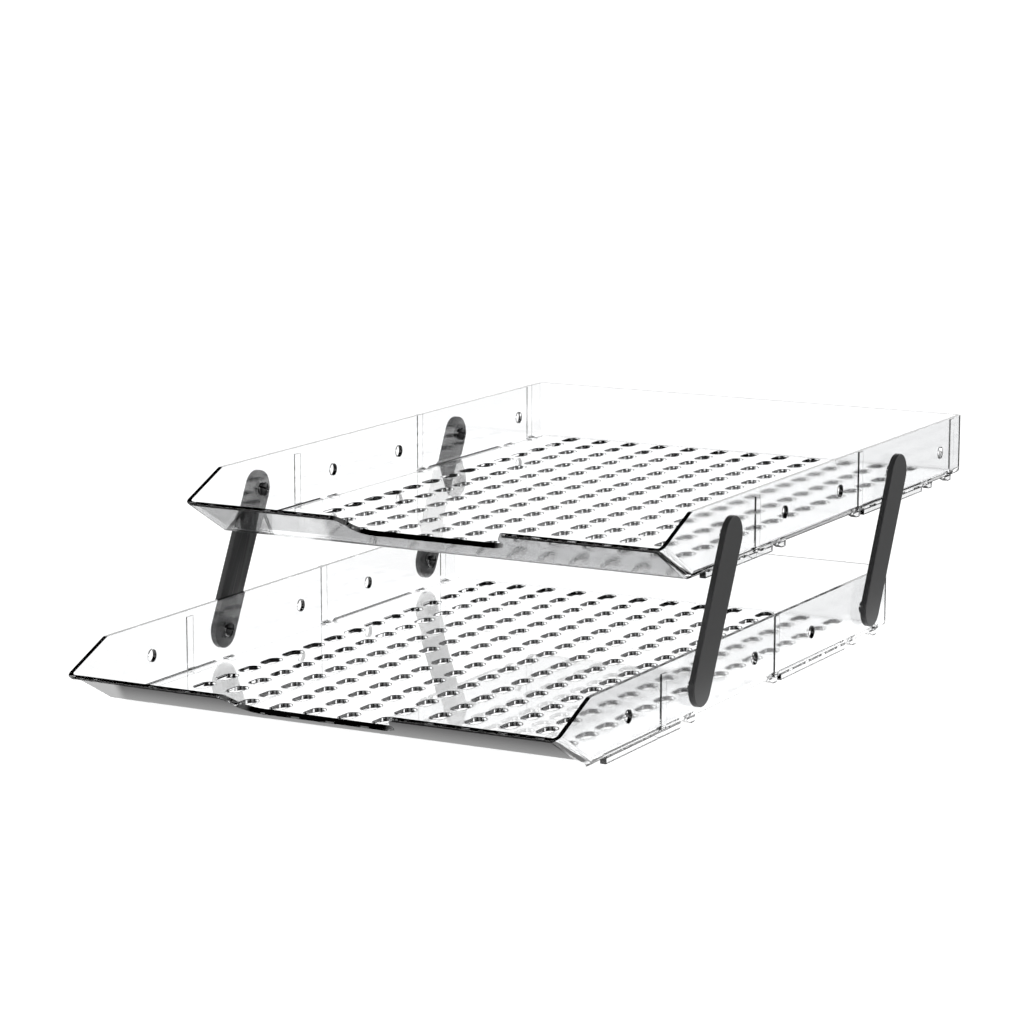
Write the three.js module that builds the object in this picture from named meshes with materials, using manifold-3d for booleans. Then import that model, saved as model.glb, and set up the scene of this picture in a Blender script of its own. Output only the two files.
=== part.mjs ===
// Two-tier articulated letter tray: two clear trays joined by four flat swing arms.
// Millimetres, +Z up. The open front faces -Y, +X is on the right of somebody facing that front.
// The origin is on the desk, under the middle of the whole object with the arms leaning back.
import * as THREE from "three";
import { mergeGeometries, mergeVertices } from "three/addons/utils/BufferGeometryUtils.js";
import Module from "manifold-3d";

// One tray, in its own frame: y runs back from the front corner of the lip, z up from the floor's underside.
const TRAY = {
  width: 255,
  depth: 363,
  height: 31.6,
  wall: 2.2,
  lipFootY: 32, // where the sloping lip leaves the floor
  lipTopZ: 18.2, // height of the front corner
  lipDraftDegrees: 1.45, // the lip thickens towards its foot
  lipEdge: 1,
  shoulderY: 31, // where the sloping front edge of a side wall reaches the rim
  lipBend: 8,
  edge: 4, // outer rounding along the bottom and up the ends of the lip
  rearCorner: 3,
};

// Finger cut-out in the lip, measured in the plane of the lip.
const CUTOUT = { halfWidth: 41, depth: 19.8, fillet: 9.4 };

// Row of equally spaced pivot holes along each side wall.
const HOLE = { count: 5, firstY: 67.5, pitch: 66.4, z: 15.25, radius: 3, sides: 20 };

// Ventilation slots in the floor, long side front to back.
const SLOT = { width: 7, length: 14, columns: 12, rows: 16, pitchX: 18.4, pitchY: 19.6, firstY: 55.7 };

// Flat outer ribs on each side wall; the front one stops below the rim.
const RIB = { width: 5.3, proud: 0.8, footZ: 1.6, frontTopZ: 28.2, positions: [101, 224, 347] };

// Runners that the tray stands on, under each side wall.
const RUNNER = { width: 3.2, inset: 0.6, depth: 2, spans: [[47, 121.5], [232, 310]] };

// Small feet under the ribs and behind the runners: a ramp in front of a short block.
const FOOT = { ramp: 5, block: 4, near: 4.5, far: 0.8, positions: [101, 133, 224, 320.5, 347] };

// Swing arm with a split snap pin at each end. Pin heights are measured from the arm's inner face.
const ARM = { reach: 72.8, leanDegrees: 26.4, radius: 9.25, thickness: 3.2, gap: 1.1, edge: 0.4 };
const PIN = { collar: 4.6, collarHeight: 0.8, neck: 2.88, head: 3.4, clearance: 0.3, dome: 1.7, split: 1 };

const LOWER_HOLES = [1, 4]; // counted from the front, starting at 0
const UPPER_HOLES = [0, 3];

const lean = THREE.MathUtils.degToRad(ARM.leanDegrees);
const stepBack = (LOWER_HOLES[0] - UPPER_HOLES[0]) * HOLE.pitch + ARM.reach * Math.sin(lean);
const stepUp = ARM.reach * Math.cos(lean);

const wasm = await Module();
wasm.setup();

// Turns a closed three.js geometry into a manifold-3d solid.
function solidOf(geometry) {
  const bare = geometry.clone();
  bare.deleteAttribute("normal");
  bare.deleteAttribute("uv");
  const merged = mergeVertices(bare, 1e-4);
  return new wasm.Manifold(
    new wasm.Mesh({
      numProp: 3,
      vertProperties: new Float32Array(merged.attributes.position.array),
      triVerts: new Uint32Array(merged.index.array),
    }),
  );
}

// Turns a manifold-3d solid back into a three.js geometry.
function geometryOf(solid) {
  const mesh = solid.getMesh();
  const geometry = new THREE.BufferGeometry();
  geometry.setAttribute("position", new THREE.BufferAttribute(new Float32Array(mesh.vertProperties), 3));
  geometry.setIndex(new THREE.BufferAttribute(new Uint32Array(mesh.triVerts), 1));
  geometry.computeVertexNormals();
  return geometry;
}

// Closed outline through corners [x, y, radius], each rounded by an arc of a few straight steps.
function roundedOutline(corners, steps = 4) {
  const outline = [];
  corners.forEach(([x, y, radius], index) => {
    const corner = new THREE.Vector2(x, y);
    if (!radius) {
      outline.push(corner);
      return;
    }
    const before = corners[(index + corners.length - 1) % corners.length];
    const after = corners[(index + 1) % corners.length];
    const back = new THREE.Vector2(before[0], before[1]).sub(corner).normalize();
    const ahead = new THREE.Vector2(after[0], after[1]).sub(corner).normalize();
    const halfAngle = Math.acos(THREE.MathUtils.clamp(back.dot(ahead), -1, 1)) / 2;
    const centre = back.clone().add(ahead).normalize().multiplyScalar(radius / Math.sin(halfAngle)).add(corner);
    const start = back.clone().multiplyScalar(radius / Math.tan(halfAngle)).add(corner).sub(centre);
    const end = ahead.clone().multiplyScalar(radius / Math.tan(halfAngle)).add(corner).sub(centre);
    const sweep = Math.atan2(start.cross(end), start.dot(end));
    for (let step = 0; step <= steps; step += 1) {
      outline.push(start.clone().rotateAround(new THREE.Vector2(), (sweep * step) / steps).add(centre));
    }
  });
  return outline;
}

// Prism over an outline, built in the XY plane and carried into place by the given axes.
function prism(outline, length, axisX, axisY, origin = new THREE.Vector3()) {
  const geometry = new THREE.ExtrudeGeometry(new THREE.Shape(outline), { depth: length, bevelEnabled: false });
  const axisZ = new THREE.Vector3().crossVectors(axisX, axisY);
  geometry.applyMatrix4(new THREE.Matrix4().makeBasis(axisX, axisY, axisZ).setPosition(origin));
  return geometry;
}

const X = new THREE.Vector3(1, 0, 0);
const Y = new THREE.Vector3(0, 1, 0);
const Z = new THREE.Vector3(0, 0, 1);

// Direction down the lip, and the direction out of its upper face.
const lipDown = new THREE.Vector3(0, TRAY.lipFootY, -TRAY.lipTopZ).normalize();
const lipNormal = new THREE.Vector3().crossVectors(X, lipDown);

// Side profile extruded across, cut to the front, plan and lip outlines, so that every long edge is rounded.
// The block stands in from the tray's outer faces by inset.
function roundedBlock(sideProfile, inset, rearCorner) {
  const top = 80;
  const front = -70;
  const halfWidth = TRAY.width / 2 - inset;
  const rearY = TRAY.depth - inset;
  const edge = TRAY.edge - inset;
  const side = solidOf(prism(sideProfile, 2 * halfWidth, Y, Z, new THREE.Vector3(-halfWidth, 0, 0)));
  const frontOutline = roundedOutline([
    [inset, -halfWidth, edge],
    [top, -halfWidth, 0],
    [top, halfWidth, 0],
    [inset, halfWidth, edge],
  ]);
  const across = solidOf(prism(frontOutline, rearY - front + 10, Z, X, new THREE.Vector3(0, front, 0)));
  const planOutline = roundedOutline([
    [-halfWidth, front, 0],
    [halfWidth, front, 0],
    [halfWidth, rearY, rearCorner],
    [-halfWidth, rearY, rearCorner],
  ]);
  const plan = solidOf(prism(planOutline, top + 10, X, Y, new THREE.Vector3(0, 0, -10)));
  const lipOutline = roundedOutline([
    [-halfWidth, inset, edge],
    [halfWidth, inset, edge],
    [halfWidth, 300, 0],
    [-halfWidth, 300, 0],
  ]);
  const lipOrigin = new THREE.Vector3(0, 0, TRAY.lipTopZ).addScaledVector(lipDown, 500);
  const alongLip = solidOf(prism(lipOutline, 600, X, lipNormal, lipOrigin));
  return side.intersect(across).intersect(plan).intersect(alongLip);
}

function trayShell() {
  const outer = roundedOutline([
    [TRAY.lipFootY, 0, TRAY.lipBend],
    [TRAY.depth, 0, TRAY.edge],
    [TRAY.depth, TRAY.height, 0],
    [TRAY.shoulderY, TRAY.height, 4],
    [0, TRAY.lipTopZ, TRAY.lipEdge],
  ]);
  // The inner face of the lip is carried on past the open front.
  const slope = Math.atan2(TRAY.lipTopZ, TRAY.lipFootY) - THREE.MathUtils.degToRad(TRAY.lipDraftDegrees);
  const innerTopY = lipNormal.y * TRAY.wall;
  const innerTopZ = TRAY.lipTopZ + lipNormal.z * TRAY.wall;
  const lipInnerY = (z) => innerTopY + (innerTopZ - z) / Math.tan(slope);
  const openZ = 45;
  const inner = roundedOutline([
    [lipInnerY(TRAY.wall), TRAY.wall, TRAY.lipBend - TRAY.wall],
    [TRAY.depth - TRAY.wall, TRAY.wall, TRAY.edge - TRAY.wall],
    [TRAY.depth - TRAY.wall, openZ, 0],
    [lipInnerY(openZ), openZ, 0],
  ]);
  const block = roundedBlock(outer, 0, TRAY.rearCorner);
  return block.subtract(roundedBlock(inner, TRAY.wall, TRAY.rearCorner - TRAY.wall));
}

// Finger cut-out: a wide notch in the lip with an S-shaped run-out at each end.
function cutoutTool() {
  const { halfWidth, depth, fillet } = CUTOUT;
  const above = -8;
  const outline = [];
  const run = (sign) => {
    const points = [new THREE.Vector2(sign * (halfWidth + fillet), above)];
    for (let step = 0; step <= 5; step += 1) {
      const angle = (Math.PI / 2) * (step / 5);
      points.push(
        new THREE.Vector2(
          sign * (halfWidth + fillet * (1 - Math.sin(angle))),
          fillet * (1 - Math.cos(angle)),
        ),
      );
    }
    for (let step = 0; step <= 5; step += 1) {
      const angle = (Math.PI / 2) * (step / 5);
      points.push(
        new THREE.Vector2(
          sign * (halfWidth - fillet * (1 - Math.cos(angle))),
          depth - fillet * (1 - Math.sin(angle)),
        ),
      );
    }
    return points;
  };
  outline.push(...run(-1), ...run(1).reverse());
  const origin = new THREE.Vector3(0, 0, TRAY.lipTopZ).addScaledVector(lipNormal, -10);
  return solidOf(prism(outline.reverse(), 24, X, lipDown, origin));
}

// All the floor slots as one set of separate six-sided prisms.
function slotTool() {
  const half = SLOT.width / 2;
  const straight = SLOT.length / 2 - half * 0.62;
  const outline = [
    [half, -straight],
    [half, straight],
    [0, SLOT.length / 2],
    [-half, straight],
    [-half, -straight],
    [0, -SLOT.length / 2],
  ].map(([x, y]) => new THREE.Vector2(x, y));
  const prisms = [];
  for (let column = 0; column < SLOT.columns; column += 1) {
    for (let row = 0; row < SLOT.rows; row += 1) {
      const x = (column - (SLOT.columns - 1) / 2) * SLOT.pitchX;
      const y = SLOT.firstY + row * SLOT.pitchY;
      prisms.push(prism(outline, 6, X, Y, new THREE.Vector3(x, y, -2)));
    }
  }
  return solidOf(mergeGeometries(prisms));
}

function holeTool() {
  const cylinders = [];
  for (let index = 0; index < HOLE.count; index += 1) {
    const cylinder = new THREE.CylinderGeometry(HOLE.radius, HOLE.radius, TRAY.width + 20, HOLE.sides);
    cylinder.rotateZ(Math.PI / 2);
    cylinder.translate(0, HOLE.firstY + index * HOLE.pitch, HOLE.z);
    cylinders.push(cylinder);
  }
  return solidOf(mergeGeometries(cylinders));
}

// Box between two opposite corners.
function boxBetween(low, high) {
  const size = high.map((value, axis) => value - low[axis]);
  const box = new THREE.BoxGeometry(...size);
  box.translate(...low.map((value, axis) => value + size[axis] / 2));
  return box;
}

// Ribs, runners and locating feet on the right-hand side.
function sideRails() {
  const face = TRAY.width / 2;
  const ribs = RIB.positions.map((y, index) => {
    const top = index === 0 ? RIB.frontTopZ : TRAY.height;
    const low = [face - 1, y - RIB.width / 2, RIB.footZ];
    return solidOf(boxBetween(low, [face + RIB.proud, y + RIB.width / 2, top]));
  });
  const runners = RUNNER.spans.map(([y0, y1]) => {
    const far = face - RUNNER.inset;
    return solidOf(boxBetween([far - RUNNER.width, y0, -RUNNER.depth], [far, y1, 2]));
  });
  const feet = FOOT.positions.map((y) => {
    const side = [
      [y - FOOT.ramp, 2],
      [y - FOOT.ramp, 0],
      [y, -RUNNER.depth],
      [y + FOOT.block, -RUNNER.depth],
      [y + FOOT.block, 2],
    ].map(([along, up]) => new THREE.Vector2(along, up));
    return solidOf(prism(side, FOOT.near - FOOT.far, Y, Z, new THREE.Vector3(face - FOOT.near, 0, 0)));
  });
  return [...ribs, ...runners, ...feet];
}

function trayGeometry() {
  const rails = sideRails().flatMap((rail) => [rail, rail.mirror([1, 0, 0])]);
  const shell = rails.reduce((whole, rail) => whole.add(rail), trayShell());
  return geometryOf(shell.subtract(cutoutTool()).subtract(slotTool()).subtract(holeTool()));
}

// Flat bar with round ends, from the origin up the arm's own z axis, thickness towards +X.
function barSolid() {
  const shape = new THREE.Shape();
  const radius = ARM.radius - ARM.edge;
  shape.absarc(0, 0, radius, Math.PI, 2 * Math.PI);
  shape.absarc(0, ARM.reach, radius, 0, Math.PI);
  const bar = new THREE.ExtrudeGeometry(shape, {
    depth: ARM.thickness - 2 * ARM.edge,
    bevelEnabled: true,
    bevelThickness: ARM.edge,
    bevelSize: ARM.edge,
    bevelSegments: 1,
    curveSegments: 12,
  });
  bar.applyMatrix4(new THREE.Matrix4().makeBasis(Y, Z, X).setPosition(ARM.edge, 0, 0));
  return solidOf(bar);
}

// Split snap pin pointing to -X from the arm's inner face, its prongs parted by two crossed slits.
function pinSolid(height) {
  const wallInner = ARM.gap + TRAY.wall;
  const headStart = wallInner + PIN.clearance;
  const profile = [
    [0, -1],
    [PIN.collar, -1],
    [PIN.collar, PIN.collarHeight],
    [PIN.neck, PIN.collarHeight],
    [PIN.neck, headStart],
    [PIN.head, headStart + 0.3],
    [PIN.head, headStart + 0.6],
    [PIN.head * 0.8, headStart + PIN.dome * 0.75],
    [PIN.head * 0.45, headStart + PIN.dome],
    [0, headStart + PIN.dome],
  ].map(([radius, along]) => new THREE.Vector2(radius, along));
  const body = new THREE.LatheGeometry(profile, 12);
  body.rotateZ(Math.PI / 2);
  body.translate(0, 0, height);
  const reach = 2 * PIN.head + 2;
  const slitFrom = -(headStart + PIN.dome + 1);
  const slitTo = -PIN.collarHeight - 0.2;
  const upright = boxBetween([slitFrom, -PIN.split / 2, height - reach / 2], [slitTo, PIN.split / 2, height + reach / 2]);
  const level = boxBetween([slitFrom, -reach / 2, height - PIN.split / 2], [slitTo, reach / 2, height + PIN.split / 2]);
  return solidOf(body).subtract(solidOf(upright)).subtract(solidOf(level));
}

// Right-hand arm; a left-hand one is its mirror image.
const rightArm = barSolid().add(pinSolid(0)).add(pinSolid(ARM.reach));

const trayMaterial = () =>
  new THREE.MeshStandardMaterial({
    color: 0xeef3f5,
    roughness: 0.06,
    metalness: 0,
    transparent: true,
    opacity: 0.35,
  });
const armMaterial = () => new THREE.MeshStandardMaterial({ color: 0x3b3c3e, roughness: 0.42, metalness: 0 });

const assembly = new THREE.Group();
assembly.name = "letter_tray";

// The whole object is centred on the origin front to back.
const geometryOfTray = trayGeometry();
geometryOfTray.computeBoundingBox();
const { min, max } = geometryOfTray.boundingBox;
const lowerOrigin = new THREE.Vector3(0, -(min.y + max.y + stepBack) / 2, RUNNER.depth);
const upperOrigin = lowerOrigin.clone().add(new THREE.Vector3(0, stepBack, stepUp));

const trays = { lower_tray: lowerOrigin, upper_tray: upperOrigin };
for (const [name, origin] of Object.entries(trays)) {
  const tray = new THREE.Mesh(geometryOfTray.clone(), trayMaterial());
  tray.name = name;
  tray.position.copy(origin);
  assembly.add(tray);
}

const pairs = { front: LOWER_HOLES[0], rear: LOWER_HOLES[1] };
const sides = { left: -1, right: 1 };
for (const [pair, hole] of Object.entries(pairs)) {
  for (const [side, sign] of Object.entries(sides)) {
    const placed = rightArm
      .rotate([-ARM.leanDegrees, 0, 0])
      .translate([TRAY.width / 2 + ARM.gap, 0, 0]);
    const arm = new THREE.Mesh(geometryOf(sign > 0 ? placed : placed.mirror([1, 0, 0])), armMaterial());
    arm.name = `arm_${pair}_${side}`;
    arm.position.set(0, HOLE.firstY + hole * HOLE.pitch, HOLE.z).add(lowerOrigin);
    assembly.add(arm);
  }
}

export default assembly;
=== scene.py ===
"""Looks of the two-tier letter tray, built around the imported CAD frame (metres, +Z up, front facing -Y)."""

import math

import bmesh
import bpy
from mathutils import Matrix, Vector


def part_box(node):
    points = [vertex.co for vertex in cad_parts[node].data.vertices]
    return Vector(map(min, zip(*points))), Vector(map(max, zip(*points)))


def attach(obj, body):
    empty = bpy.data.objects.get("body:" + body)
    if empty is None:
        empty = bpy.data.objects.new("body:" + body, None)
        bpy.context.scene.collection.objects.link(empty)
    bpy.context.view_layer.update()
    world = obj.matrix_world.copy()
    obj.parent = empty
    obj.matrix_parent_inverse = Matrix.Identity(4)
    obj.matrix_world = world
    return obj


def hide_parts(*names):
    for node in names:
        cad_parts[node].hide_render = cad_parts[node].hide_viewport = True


MM = 0.001

# One tray, in millimetres in its own frame: y runs back from the front corner of the lip, z up from the
# underside of the floor.
TRAY_WIDTH = 255.0
TRAY_DEPTH = 363.0
TRAY_HEIGHT = 31.6
WALL = 2.2
LIP_FOOT_Y = 32.0
LIP_TOP_Z = 18.2
LIP_DRAFT = math.radians(1.45)  # the lip thickens towards its foot
LIP_EDGE = 1.0
SHOULDER_Y = 31.0
SHOULDER_EDGE = 4.0
LIP_BEND = 8.0
EDGE = 4.0  # outer rounding along the bottom and up the ends of the lip
REAR_CORNER = 3.0
RIM_EDGE = 0.8

CUTOUT_HALF_WIDTH = 41.0
CUTOUT_DEPTH = 19.8
CUTOUT_FILLET = 9.4

HOLE_COUNT = 5
HOLE_FIRST_Y = 67.5
HOLE_PITCH = 66.4
HOLE_Z = 15.25
HOLE_RADIUS = 3.0
LOWER_PIVOTS = {"front": 1, "rear": 4}

SLOT_WIDTH = 7.0
SLOT_LENGTH = 14.0
SLOT_COLUMNS = 12
SLOT_ROWS = 16
SLOT_PITCH_X = 18.4
SLOT_PITCH_Y = 19.6
SLOT_FIRST_Y = 55.7
SLOT_EDGE = 0.35

RIB_WIDTH = 5.3
RIB_PROUD = 0.8
RIB_FOOT = 1.6
RIB_FRONT_TOP = 28.2
RIB_Y = (101.0, 224.0, 347.0)
RUNNER_WIDTH = 3.2
RUNNER_INSET = 0.6
RUNNER_DEPTH = 2.0
RUNNER_SPANS = ((47.0, 121.5), (232.0, 310.0))
FOOT_RAMP = 5.0
FOOT_BLOCK = 4.0
FOOT_NEAR = 4.5
FOOT_FAR = 0.8
FOOT_Y = (101.0, 133.0, 224.0, 320.5, 347.0)
RAIL_EDGE = 0.35
RAIL_ROOT = 2.0  # runners and feet reach up to here, inside the wall and floor
RIB_ROOT = 1.0  # ribs reach this far into the wall

ARM_REACH = 72.8
ARM_LEAN = math.radians(26.4)
ARM_RADIUS = 9.25
ARM_THICKNESS = 3.2
ARM_GAP = 1.1
BAR_EDGE = 0.55
PIN_COLLAR = 4.6
PIN_COLLAR_HEIGHT = 0.8
PIN_NECK = 2.88
PIN_HEAD = 3.4
PIN_CLEARANCE = 0.3
PIN_DOME = 1.7
PIN_RIM = 0.6  # straight part of the head, with its lead-in
PIN_SPLIT = 1.0
PIN_EDGE = 0.12

# Roughness of the clear plastic, and where it changes across the tray in metres.
FLOOR_ROUGHNESS = 0.012
SIDE_WALL_ROUGHNESS = 0.045
SIDE_WALL = (0.1235, 0.1245)

X = Vector((1, 0, 0))
Y = Vector((0, 1, 0))
Z = Vector((0, 0, 1))


# ---------------------------------------------------------------- mesh helpers


def object_from(bm, name):
    """A new object holding the mesh being built, which is freed."""
    mesh = bpy.data.meshes.new(name)
    bmesh.ops.recalc_face_normals(bm, faces=bm.faces)
    bm.to_mesh(mesh)
    bm.free()
    obj = bpy.data.objects.new(name, mesh)
    bpy.context.scene.collection.objects.link(obj)
    return obj


def add_loops(bm, loops):
    """A closed body through equal rings of points, capped at both ends."""
    rings = [[bm.verts.new(point) for point in loop] for loop in loops]
    count = len(rings[0])
    for low, high in zip(rings, rings[1:]):
        for i in range(count):
            j = (i + 1) % count
            bm.faces.new((low[i], low[j], high[j], high[i]))
    bm.faces.new(rings[0][::-1])
    bm.faces.new(rings[-1])


def prism(outline, length, axis_x, axis_y, origin=Vector()):
    """A prism over a flat outline, which lies along axis_x and axis_y."""
    axis_z = axis_x.cross(axis_y)
    bm = bmesh.new()
    base = [origin + axis_x * x + axis_y * y for x, y in outline]
    add_loops(bm, [base, [point + axis_z * length for point in base]])
    return object_from(bm, "prism")


def rounded_outline(corners, steps=10):
    """Closed outline through corners (x, y, radius), each rounded by an arc."""
    outline = []
    for index, (x, y, radius) in enumerate(corners):
        corner = Vector((x, y))
        if radius == 0:
            outline.append(corner)
            continue
        back = (Vector(corners[index - 1][:2]) - corner).normalized()
        ahead = (Vector(corners[(index + 1) % len(corners)][:2]) - corner).normalized()
        half = back.angle(ahead) / 2
        centre = corner + (back + ahead).normalized() * (radius / math.sin(half))
        start = corner + back * (radius / math.tan(half)) - centre
        end = corner + ahead * (radius / math.tan(half)) - centre
        sweep = math.atan2(start.x * end.y - start.y * end.x, start.dot(end))
        for step in range(steps + 1):
            turned = start.copy()
            turned.rotate(Matrix.Rotation(sweep * step / steps, 2))
            outline.append(centre + turned)
    return outline


def boolean(base, tool, operation):
    """Base changed by tool, which is used up."""
    modifier = base.modifiers.new("boolean", "BOOLEAN")
    modifier.operation = operation
    modifier.solver = "MANIFOLD"
    modifier.object = tool
    bake_modifiers(base)
    bpy.data.objects.remove(tool)
    return base


def bake_modifiers(obj):
    """Replaces the mesh by what its modifiers make of it."""
    bpy.context.view_layer.update()
    depsgraph = bpy.context.evaluated_depsgraph_get()
    mesh = bpy.data.meshes.new_from_object(obj.evaluated_get(depsgraph))
    obj.modifiers.clear()
    obj.data = mesh


def bevel(obj, width, segments, angle_degrees):
    modifier = obj.modifiers.new("edges", "BEVEL")
    modifier.width = width
    modifier.segments = segments
    modifier.limit_method = "ANGLE"
    modifier.angle_limit = math.radians(angle_degrees)
    modifier.harden_normals = False
    bake_modifiers(obj)


def smooth_shading(obj, sharp_degrees=32):
    """Smooth shading that stays flat on flat faces and breaks at sharp edges."""
    bm = bmesh.new()
    bm.from_mesh(obj.data)
    bmesh.ops.remove_doubles(bm, verts=bm.verts, dist=0.002)
    bmesh.ops.dissolve_degenerate(bm, edges=bm.edges, dist=0.0005)
    for face in bm.faces:
        face.smooth = True
    for edge in bm.edges:
        edge.smooth = edge.calc_face_angle(0) < math.radians(sharp_degrees)
    bm.to_mesh(obj.data)
    bm.free()
    modifier = obj.modifiers.new("flat faces", "WEIGHTED_NORMAL")
    modifier.keep_sharp = True
    modifier.weight = 100


# ---------------------------------------------------------------- tray


LIP_DOWN = Vector((0, LIP_FOOT_Y, -LIP_TOP_Z)).normalized()
LIP_NORMAL = X.cross(LIP_DOWN)


def rounded_block(side_profile, inset, rear_corner):
    """Side profile extruded across, cut to the front, plan and lip outlines, standing in by inset."""
    top = 80
    front = -70
    half_width = TRAY_WIDTH / 2 - inset
    rear_y = TRAY_DEPTH - inset
    edge = EDGE - inset
    block = prism(side_profile, 2 * half_width, Y, Z, Vector((-half_width, 0, 0)))
    front_outline = rounded_outline([
        (inset, -half_width, edge),
        (top, -half_width, 0),
        (top, half_width, 0),
        (inset, half_width, edge),
    ])
    boolean(block, prism(front_outline, rear_y - front + 10, Z, X, Vector((0, front, 0))), "INTERSECT")
    plan_outline = rounded_outline([
        (-half_width, front, 0),
        (half_width, front, 0),
        (half_width, rear_y, rear_corner),
        (-half_width, rear_y, rear_corner),
    ])
    boolean(block, prism(plan_outline, top + 10, X, Y, Vector((0, 0, -10))), "INTERSECT")
    lip_outline = rounded_outline([
        (-half_width, inset, edge),
        (half_width, inset, edge),
        (half_width, 300, 0),
        (-half_width, 300, 0),
    ])
    lip_origin = Vector((0, 0, LIP_TOP_Z)) + LIP_DOWN * 500
    return boolean(block, prism(lip_outline, 600, X, LIP_NORMAL, lip_origin), "INTERSECT")


def tray_shell():
    outer = rounded_outline([
        (LIP_FOOT_Y, 0, LIP_BEND),
        (TRAY_DEPTH, 0, EDGE),
        (TRAY_DEPTH, TRAY_HEIGHT, 0),
        (SHOULDER_Y, TRAY_HEIGHT, SHOULDER_EDGE),
        (0, LIP_TOP_Z, LIP_EDGE),
    ])
    inner_slope = math.atan2(LIP_TOP_Z, LIP_FOOT_Y) - LIP_DRAFT

    def lip_inner_y(z):
        """The inner face of the lip, carried on past the open front."""
        return LIP_NORMAL.y * WALL + (LIP_TOP_Z + LIP_NORMAL.z * WALL - z) / math.tan(inner_slope)

    open_z = 45
    inner = rounded_outline([
        (lip_inner_y(WALL), WALL, LIP_BEND - WALL),
        (TRAY_DEPTH - WALL, WALL, EDGE - WALL),
        (TRAY_DEPTH - WALL, open_z, 0),
        (lip_inner_y(open_z), open_z, 0),
    ])
    block = rounded_block(outer, 0, REAR_CORNER)
    return boolean(block, rounded_block(inner, WALL, REAR_CORNER - WALL), "DIFFERENCE")


def quarter_turn(count):
    return [math.pi / 2 * step / count for step in range(count + 1)]


def cutout_tool():
    """Finger cut-out: a wide notch in the lip with an S-shaped run-out at each end."""
    def run(sign):
        points = [(sign * (CUTOUT_HALF_WIDTH + CUTOUT_FILLET), -8)]
        for angle in quarter_turn(10):
            points.append((
                sign * (CUTOUT_HALF_WIDTH + CUTOUT_FILLET * (1 - math.sin(angle))),
                CUTOUT_FILLET * (1 - math.cos(angle)),
            ))
        for angle in quarter_turn(10)[1:]:
            points.append((
                sign * (CUTOUT_HALF_WIDTH - CUTOUT_FILLET * (1 - math.cos(angle))),
                CUTOUT_DEPTH - CUTOUT_FILLET * (1 - math.sin(angle)),
            ))
        return points

    outline = run(-1) + run(1)[::-1]
    origin = Vector((0, 0, LIP_TOP_Z)) - LIP_NORMAL * 10
    return prism(outline[::-1], 24, X, LIP_DOWN, origin)


def flare(depth):
    """How far a rounded rim stands back at a depth below the face."""
    return SLOT_EDGE - math.sqrt(max(SLOT_EDGE**2 - (SLOT_EDGE - depth) ** 2, 0))


def through_levels(low, high, steps=3):
    """Levels and offsets of a through hole between two faces, with rounded rims."""
    rim = [SLOT_EDGE * (1 - math.cos(math.pi / 2 * step / steps)) for step in range(steps + 1)]
    near = [(low + depth, flare(depth)) for depth in rim]
    far = [(high - depth, flare(depth)) for depth in reversed(rim)]
    return [(low - 1, SLOT_EDGE)] + near + far + [(high + 1, SLOT_EDGE)]


def slot_tool():
    straight = (SLOT_LENGTH - SLOT_WIDTH) / 2
    bm = bmesh.new()
    for column in range(SLOT_COLUMNS):
        for row in range(SLOT_ROWS):
            x = (column - (SLOT_COLUMNS - 1) / 2) * SLOT_PITCH_X
            y = SLOT_FIRST_Y + row * SLOT_PITCH_Y
            loops = []
            for z, offset in through_levels(0, WALL):
                radius = SLOT_WIDTH / 2 + offset
                loop = []
                for end in (1, -1):
                    for step in range(11):
                        angle = math.pi * step / 10 + (0 if end == 1 else math.pi)
                        loop.append((
                            x + radius * math.cos(angle),
                            y + end * straight + radius * math.sin(angle),
                            z,
                        ))
                loops.append(loop)
            add_loops(bm, loops)
    return object_from(bm, "slots")


def hole_tool():
    bm = bmesh.new()
    half = TRAY_WIDTH / 2
    for index in range(HOLE_COUNT):
        for sign in (1, -1):
            loops = []
            for along, offset in through_levels(half - WALL, half):
                radius = HOLE_RADIUS + offset
                loops.append([
                    (
                        sign * along,
                        HOLE_FIRST_Y + index * HOLE_PITCH + radius * math.cos(math.tau * step / 32),
                        HOLE_Z + radius * math.sin(math.tau * step / 32),
                    )
                    for step in range(32)
                ])
            add_loops(bm, loops)
    return object_from(bm, "holes")


def box_tool(low, high):
    outline = [(low[0], low[1]), (high[0], low[1]), (high[0], high[1]), (low[0], high[1])]
    return prism(outline, high[2] - low[2], X, Y, Vector((0, 0, low[2])))


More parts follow.
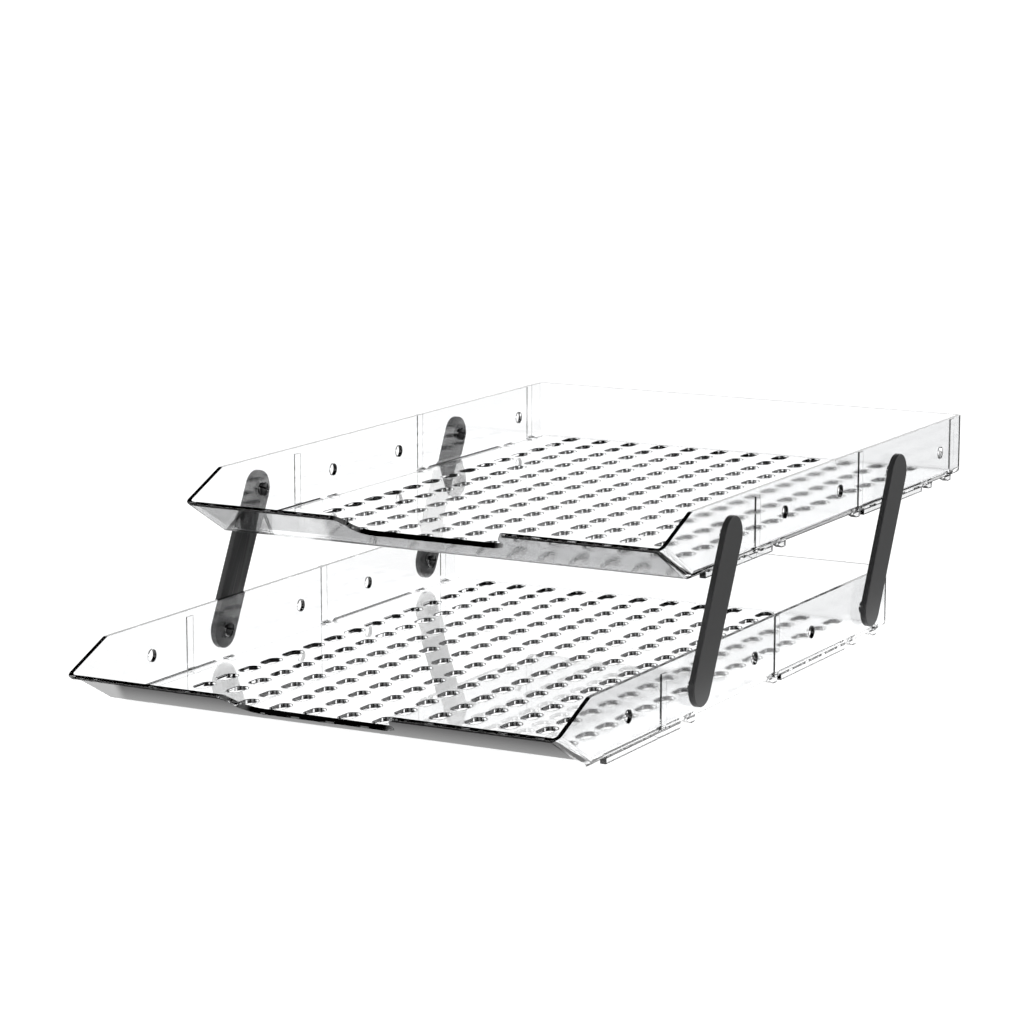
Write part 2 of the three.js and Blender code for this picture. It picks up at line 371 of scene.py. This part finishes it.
def add_side_rails(tray):
    """Flat ribs, runners and small ramped feet on both sides."""
    face = TRAY_WIDTH / 2
    rails = []  # outline along (Y, Z), thickness and x of the side nearer the middle
    for index, y in enumerate(RIB_Y):
        top = RIB_FRONT_TOP if index == 0 else TRAY_HEIGHT
        y0 = y - RIB_WIDTH / 2
        y1 = y + RIB_WIDTH / 2
        outline = [(y0, RIB_FOOT), (y1, RIB_FOOT), (y1, top), (y0, top)]
        rails.append((outline, RIB_ROOT + RIB_PROUD, face - RIB_ROOT))
    for y0, y1 in RUNNER_SPANS:
        outline = [(y0, -RUNNER_DEPTH), (y1, -RUNNER_DEPTH), (y1, RAIL_ROOT), (y0, RAIL_ROOT)]
        rails.append((outline, RUNNER_WIDTH, face - RUNNER_INSET - RUNNER_WIDTH))
    for y in FOOT_Y:
        outline = [
            (y - FOOT_RAMP, 0),
            (y, -RUNNER_DEPTH),
            (y + FOOT_BLOCK, -RUNNER_DEPTH),
            (y + FOOT_BLOCK, RAIL_ROOT),
            (y - FOOT_RAMP, RAIL_ROOT),
        ]
        rails.append((outline, FOOT_NEAR - FOOT_FAR, face - FOOT_NEAR))
    for outline, thickness, near in rails:
        for sign in (1, -1):
            rail = prism(outline, thickness, Y, Z, Vector((near, 0, 0)))
            bevel(rail, RAIL_EDGE, 3, 60)
            if sign < 0:
                rail.data.transform(Matrix.Scale(-1, 4, X))
                rail.data.flip_normals()
            boolean(tray, rail, "UNION")


def tray_mesh():
    """The whole tray as one closed moulding, in millimetres in its own frame."""
    tray = tray_shell()
    boolean(tray, cutout_tool(), "DIFFERENCE")
    bevel(tray, RIM_EDGE, 4, 35)
    add_side_rails(tray)
    boolean(tray, slot_tool(), "DIFFERENCE")
    boolean(tray, hole_tool(), "DIFFERENCE")
    smooth_shading(tray)
    return tray


# ---------------------------------------------------------------- arms


def stadium(radius, reach, steps=24):
    """Outline with round ends at (0, 0) and (0, reach)."""
    points = []
    for end, centre in ((0, reach), (1, 0)):
        for step in range(steps + 1):
            angle = math.pi * (end + step / steps)
            points.append((radius * math.cos(angle), centre + radius * math.sin(angle)))
    return points


def turned_body(profile, steps=40):
    """Solid of revolution about the X axis, through profile points (radius, distance along -X)."""
    bm = bmesh.new()
    loops = [
        [
            (-along, radius * math.cos(math.tau * step / steps), radius * math.sin(math.tau * step / steps))
            for step in range(steps)
        ]
        for radius, along in profile
    ]
    add_loops(bm, loops)
    return object_from(bm, "turned")


def pin(height):
    """Split snap pin pointing to -X, at a height up the arm."""
    head = ARM_GAP + WALL + PIN_CLEARANCE
    dome = [
        (PIN_HEAD * math.cos(angle), head + PIN_RIM + (PIN_DOME - PIN_RIM) * math.sin(angle))
        for angle in quarter_turn(10)[:-1]
    ]
    collar = [(PIN_COLLAR, -1), (PIN_COLLAR, PIN_COLLAR_HEIGHT)]
    neck = [(PIN_NECK, PIN_COLLAR_HEIGHT), (PIN_NECK, head)]
    profile = [*collar, *neck, (PIN_HEAD, head + PIN_RIM / 2), *dome, (0.05, head + PIN_DOME)]
    body = turned_body(profile)
    reach = PIN_HEAD + 1
    for half_y, half_z in ((PIN_SPLIT / 2, reach), (reach, PIN_SPLIT / 2)):
        slit = box_tool((-head - PIN_DOME - 1, -half_y, -half_z), (-PIN_COLLAR_HEIGHT - 0.2, half_y, half_z))
        boolean(body, slit, "DIFFERENCE")
    body.data.transform(Matrix.Translation((0, 0, height)))
    return body


def arm_mesh():
    """Right-hand arm standing upright, in millimetres with its lower pivot at the origin."""
    bar = prism(stadium(ARM_RADIUS, ARM_REACH), ARM_THICKNESS, Y, Z)
    bevel(bar, BAR_EDGE, 4, 60)
    for height in (0, ARM_REACH):
        boolean(bar, pin(height), "UNION")
    bevel(bar, PIN_EDGE, 2, 50)
    smooth_shading(bar, 40)
    return bar


# ---------------------------------------------------------------- materials


def new_material(name):
    material = bpy.data.materials.new(name)
    material.use_nodes = True
    return material, material.node_tree, material.node_tree.nodes["Principled BSDF"]


def set_input(tree, socket, value):
    """Gives a socket a plain number, or joins it to another node's output."""
    if isinstance(value, float):
        socket.default_value = value
    else:
        tree.links.new(value, socket)


def coordinates(tree, output):
    return tree.nodes.new("ShaderNodeTexCoord").outputs[output]


def axes(tree, output):
    """The X, Y and Z of one kind of coordinates."""
    split = tree.nodes.new("ShaderNodeSeparateXYZ")
    tree.links.new(coordinates(tree, output), split.inputs["Vector"])
    return split.outputs


def calculated(tree, operation, *values):
    node = tree.nodes.new("ShaderNodeMath")
    node.operation = operation
    for socket, value in zip(node.inputs, values):
        set_input(tree, socket, value)
    return node.outputs["Value"]


def mapped(tree, source, old_range, new_range, interpolation="SMOOTHSTEP"):
    """Source carried from one range to another, whose ends may themselves be outputs."""
    ramp = tree.nodes.new("ShaderNodeMapRange")
    ramp.interpolation_type = interpolation
    for name, value in zip(("From Min", "From Max", "To Min", "To Max"), (*old_range, *new_range)):
        set_input(tree, ramp.inputs[name], value)
    tree.links.new(source, ramp.inputs["Value"])
    return ramp.outputs["Result"]


def noise(tree, scale, detail):
    texture = tree.nodes.new("ShaderNodeTexNoise")
    texture.inputs["Scale"].default_value = scale
    texture.inputs["Detail"].default_value = detail
    tree.links.new(coordinates(tree, "Object"), texture.inputs["Vector"])
    return texture.outputs["Fac"]


def add_bump(tree, shader, height, strength, distance):
    bump = tree.nodes.new("ShaderNodeBump")
    bump.inputs["Strength"].default_value = strength
    bump.inputs["Distance"].default_value = distance
    tree.links.new(height, bump.inputs["Height"])
    tree.links.new(bump.outputs["Normal"], shader.inputs["Normal"])


def clear_plastic():
    """Polished clear plastic with slow waves in its surface and a slight haze on the side walls."""
    material, tree, shader = new_material("clear_plastic")
    shader.inputs["Transmission Weight"].default_value = 1.0
    shader.inputs["IOR"].default_value = 1.57
    shader.inputs["Base Color"].default_value = (0.985, 0.99, 0.995, 1)
    across = calculated(tree, "ABSOLUTE", axes(tree, "Object")["X"])
    haze = mapped(tree, across, SIDE_WALL, (FLOOR_ROUGHNESS, SIDE_WALL_ROUGHNESS), "LINEAR")
    tree.links.new(haze, shader.inputs["Roughness"])
    add_bump(tree, shader, noise(tree, 35, 1), 0.02, 0.0005)
    return material


def arm_plastic():
    """Satin dark plastic with a fine moulded grain."""
    material, tree, shader = new_material("arm_plastic")
    grain = noise(tree, 2200, 3)
    tone = tree.nodes.new("ShaderNodeMix")
    tone.data_type = "RGBA"
    tone.inputs["A"].default_value = (0.018, 0.0185, 0.019, 1)
    tone.inputs["B"].default_value = (0.026, 0.0265, 0.027, 1)
    tree.links.new(grain, tone.inputs["Factor"])
    tree.links.new(tone.outputs["Result"], shader.inputs["Base Color"])
    tree.links.new(mapped(tree, grain, (0.0, 1.0), (0.32, 0.48), "LINEAR"), shader.inputs["Roughness"])
    add_bump(tree, shader, grain, 0.12, 0.00005)
    return material


def studio_light(tree, mirrored, diffuse):
    """Brightness of the desk or sky: seen straight or through plastic, in a reflection, or on a matt face."""
    path = tree.nodes.new("ShaderNodeLightPath")

    def chosen(depth, when_reached, otherwise):
        mix = tree.nodes.new("ShaderNodeMix")
        tree.links.new(calculated(tree, "GREATER_THAN", path.outputs[depth], 0.5), mix.inputs["Factor"])
        set_input(tree, mix.inputs["A"], otherwise)
        set_input(tree, mix.inputs["B"], when_reached)
        return mix.outputs["Result"]

    return chosen("Diffuse Depth", diffuse, chosen("Glossy Depth", mirrored, STRAIGHT))


# ---------------------------------------------------------------- assembly


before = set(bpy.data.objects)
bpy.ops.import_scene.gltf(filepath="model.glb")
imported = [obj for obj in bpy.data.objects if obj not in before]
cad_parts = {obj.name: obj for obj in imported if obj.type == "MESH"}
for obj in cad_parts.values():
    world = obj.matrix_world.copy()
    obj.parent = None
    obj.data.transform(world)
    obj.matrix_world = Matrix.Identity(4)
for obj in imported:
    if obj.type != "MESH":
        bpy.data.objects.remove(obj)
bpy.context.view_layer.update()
scene = bpy.context.scene
lower_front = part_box("lower_tray")[0].y


def add_piece(name, source, matrix, material, flip=False):
    """A copy of a finished mesh, moved by matrix, that stands for the CAD node it is named after."""
    bpy.context.view_layer.update()
    mesh = bpy.data.meshes.new_from_object(source.evaluated_get(bpy.context.evaluated_depsgraph_get()))
    mesh.transform(matrix)
    if flip:
        mesh.flip_normals()
    mesh.name = name
    mesh.materials.clear()
    mesh.materials.append(material)
    obj = bpy.data.objects.new(name, mesh)
    scene.collection.objects.link(obj)
    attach(obj, name.replace("_look", ""))
    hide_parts(name.replace("_look", ""))


clear = clear_plastic()
tray = tray_mesh()
tray_front = min(vertex.co.y for vertex in tray.data.vertices)
for node in ("lower_tray", "upper_tray"):
    low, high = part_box(node)
    origin = Vector(((low.x + high.x) / 2, low.y - tray_front * MM, low.z + RUNNER_DEPTH * MM))
    add_piece(f"{node}_look", tray, Matrix.Translation(origin) @ Matrix.Scale(MM, 4), clear)
bpy.data.objects.remove(tray)

dark = arm_plastic()
arm = arm_mesh()
for pair, hole in LOWER_PIVOTS.items():
    for side, sign in (("right", 1), ("left", -1)):
        pivot = Vector((
            sign * (TRAY_WIDTH / 2 + ARM_GAP) * MM,
            lower_front + (HOLE_FIRST_Y + hole * HOLE_PITCH - tray_front) * MM,
            (RUNNER_DEPTH + HOLE_Z) * MM,
        ))
        matrix = Matrix.Translation(pivot) @ Matrix.Rotation(-ARM_LEAN, 4, "X") @ Matrix.Scale(MM, 4)
        if sign < 0:
            matrix = matrix @ Matrix.Scale(-1, 4, X)
        add_piece(f"arm_{pair}_{side}_look", arm, matrix, dark, flip=sign < 0)
bpy.data.objects.remove(arm)

# ---------------------------------------------------------------- studio

# Brightness of the desk and sky. STRAIGHT is what the camera sees, also through clear plastic.
STRAIGHT = 1.18
DESK_DIFFUSE = 0.5
# Painted reflections of the desk: painted shadow under the tray, painted shade below the lip, painted light
# beside the walls.
UNDER_TRAY_PAINTED_SHADOW = 0.15
NEAR_DESK_PAINTED_LIGHT = 1.4
FAR_DESK_PAINTED_SHADE = 0.3
LIP_STRIP_PAINTED_SHADE = (0.25, 1.1)
SKY_MIRRORED = (1.5, 0.0)  # low down and high up
SKY_DIFFUSE = (0.6, 1.0)

# Where those change, in metres across or back from the middle, and in steepness for the sky.
TRAY_SIDE = (0.116, 0.122)
NEAR_DESK_END = (0.150, 0.165)
LIP_STRIP = (lower_front + 0.016, lower_front + 0.034)
LIP_STRIP_END = (lower_front + 0.034, lower_front + 0.040)
SKY_DARKENS = (0.35, 0.6)


def desk_material():
    """Glowing desk, even when seen straight, whose reflections carry painted shadow under the tray, painted
    shade below the lip and painted light beside the walls.
    """
    material, tree, shader = new_material("floor")
    tree.nodes.remove(shader)
    place = axes(tree, "Object")
    across = calculated(tree, "ABSOLUTE", place["X"])
    # Painted reflection: painted shade that brightens back across the strip below the lower lip, then painted
    # shadow under the tray and painted light beside the walls.
    painted_shade_below_lip = mapped(tree, place["Y"], LIP_STRIP, LIP_STRIP_PAINTED_SHADE)
    painted_shadow_under_tray = mapped(tree, place["Y"], LIP_STRIP_END, (painted_shade_below_lip, UNDER_TRAY_PAINTED_SHADOW))
    painted_light_beside_tray = mapped(tree, across, NEAR_DESK_END, (NEAR_DESK_PAINTED_LIGHT, FAR_DESK_PAINTED_SHADE))
    mirrored = mapped(tree, across, TRAY_SIDE, (painted_shadow_under_tray, painted_light_beside_tray))
    glow = tree.nodes.new("ShaderNodeEmission")
    tree.links.new(studio_light(tree, mirrored, DESK_DIFFUSE), glow.inputs["Strength"])
    tree.links.new(glow.outputs["Emission"], tree.nodes["Material Output"].inputs["Surface"])
    return material


desk_bm = bmesh.new()
bmesh.ops.create_grid(desk_bm, x_segments=1, y_segments=1, size=6)
desk = object_from(desk_bm, "floor")
desk.location.z = -0.0002
desk.data.materials.append(desk_material())

world = bpy.data.worlds.new("studio")
world.use_nodes = True
scene.world = world
sky = world.node_tree
background = sky.nodes["Background"]
background.inputs["Color"].default_value = (1, 1, 1, 1)
height = axes(sky, "Generated")["Z"]
sky_mirrored = mapped(sky, height, SKY_DARKENS, SKY_MIRRORED)
sky_diffuse = mapped(sky, height, (0.0, 1.0), SKY_DIFFUSE)
sky.links.new(studio_light(sky, sky_mirrored, sky_diffuse), background.inputs["Strength"])

camera_data = bpy.data.cameras.new("camera")
camera = bpy.data.objects.new("camera", camera_data)
scene.collection.objects.link(camera)
camera.location = (0.789, -1.48446, 0.37695)
looks_at = Vector((0, -0.05046, 0.06495))
camera.rotation_euler = (looks_at - camera.location).to_track_quat("-Z", "Y").to_euler()
camera_data.sensor_width = 36
camera_data.lens = 121.25
camera_data.shift_x = 0.0123
camera_data.shift_y = 0.0289
scene.camera = camera

scene.view_settings.view_transform = "Standard"
scene.cycles.max_bounces = 32
scene.cycles.transmission_bounces = 32
scene.cycles.glossy_bounces = 3  # light caught in the rims and cut edges goes dark
scene.cycles.transparent_max_bounces = 32

bpy.context.view_layer.update()
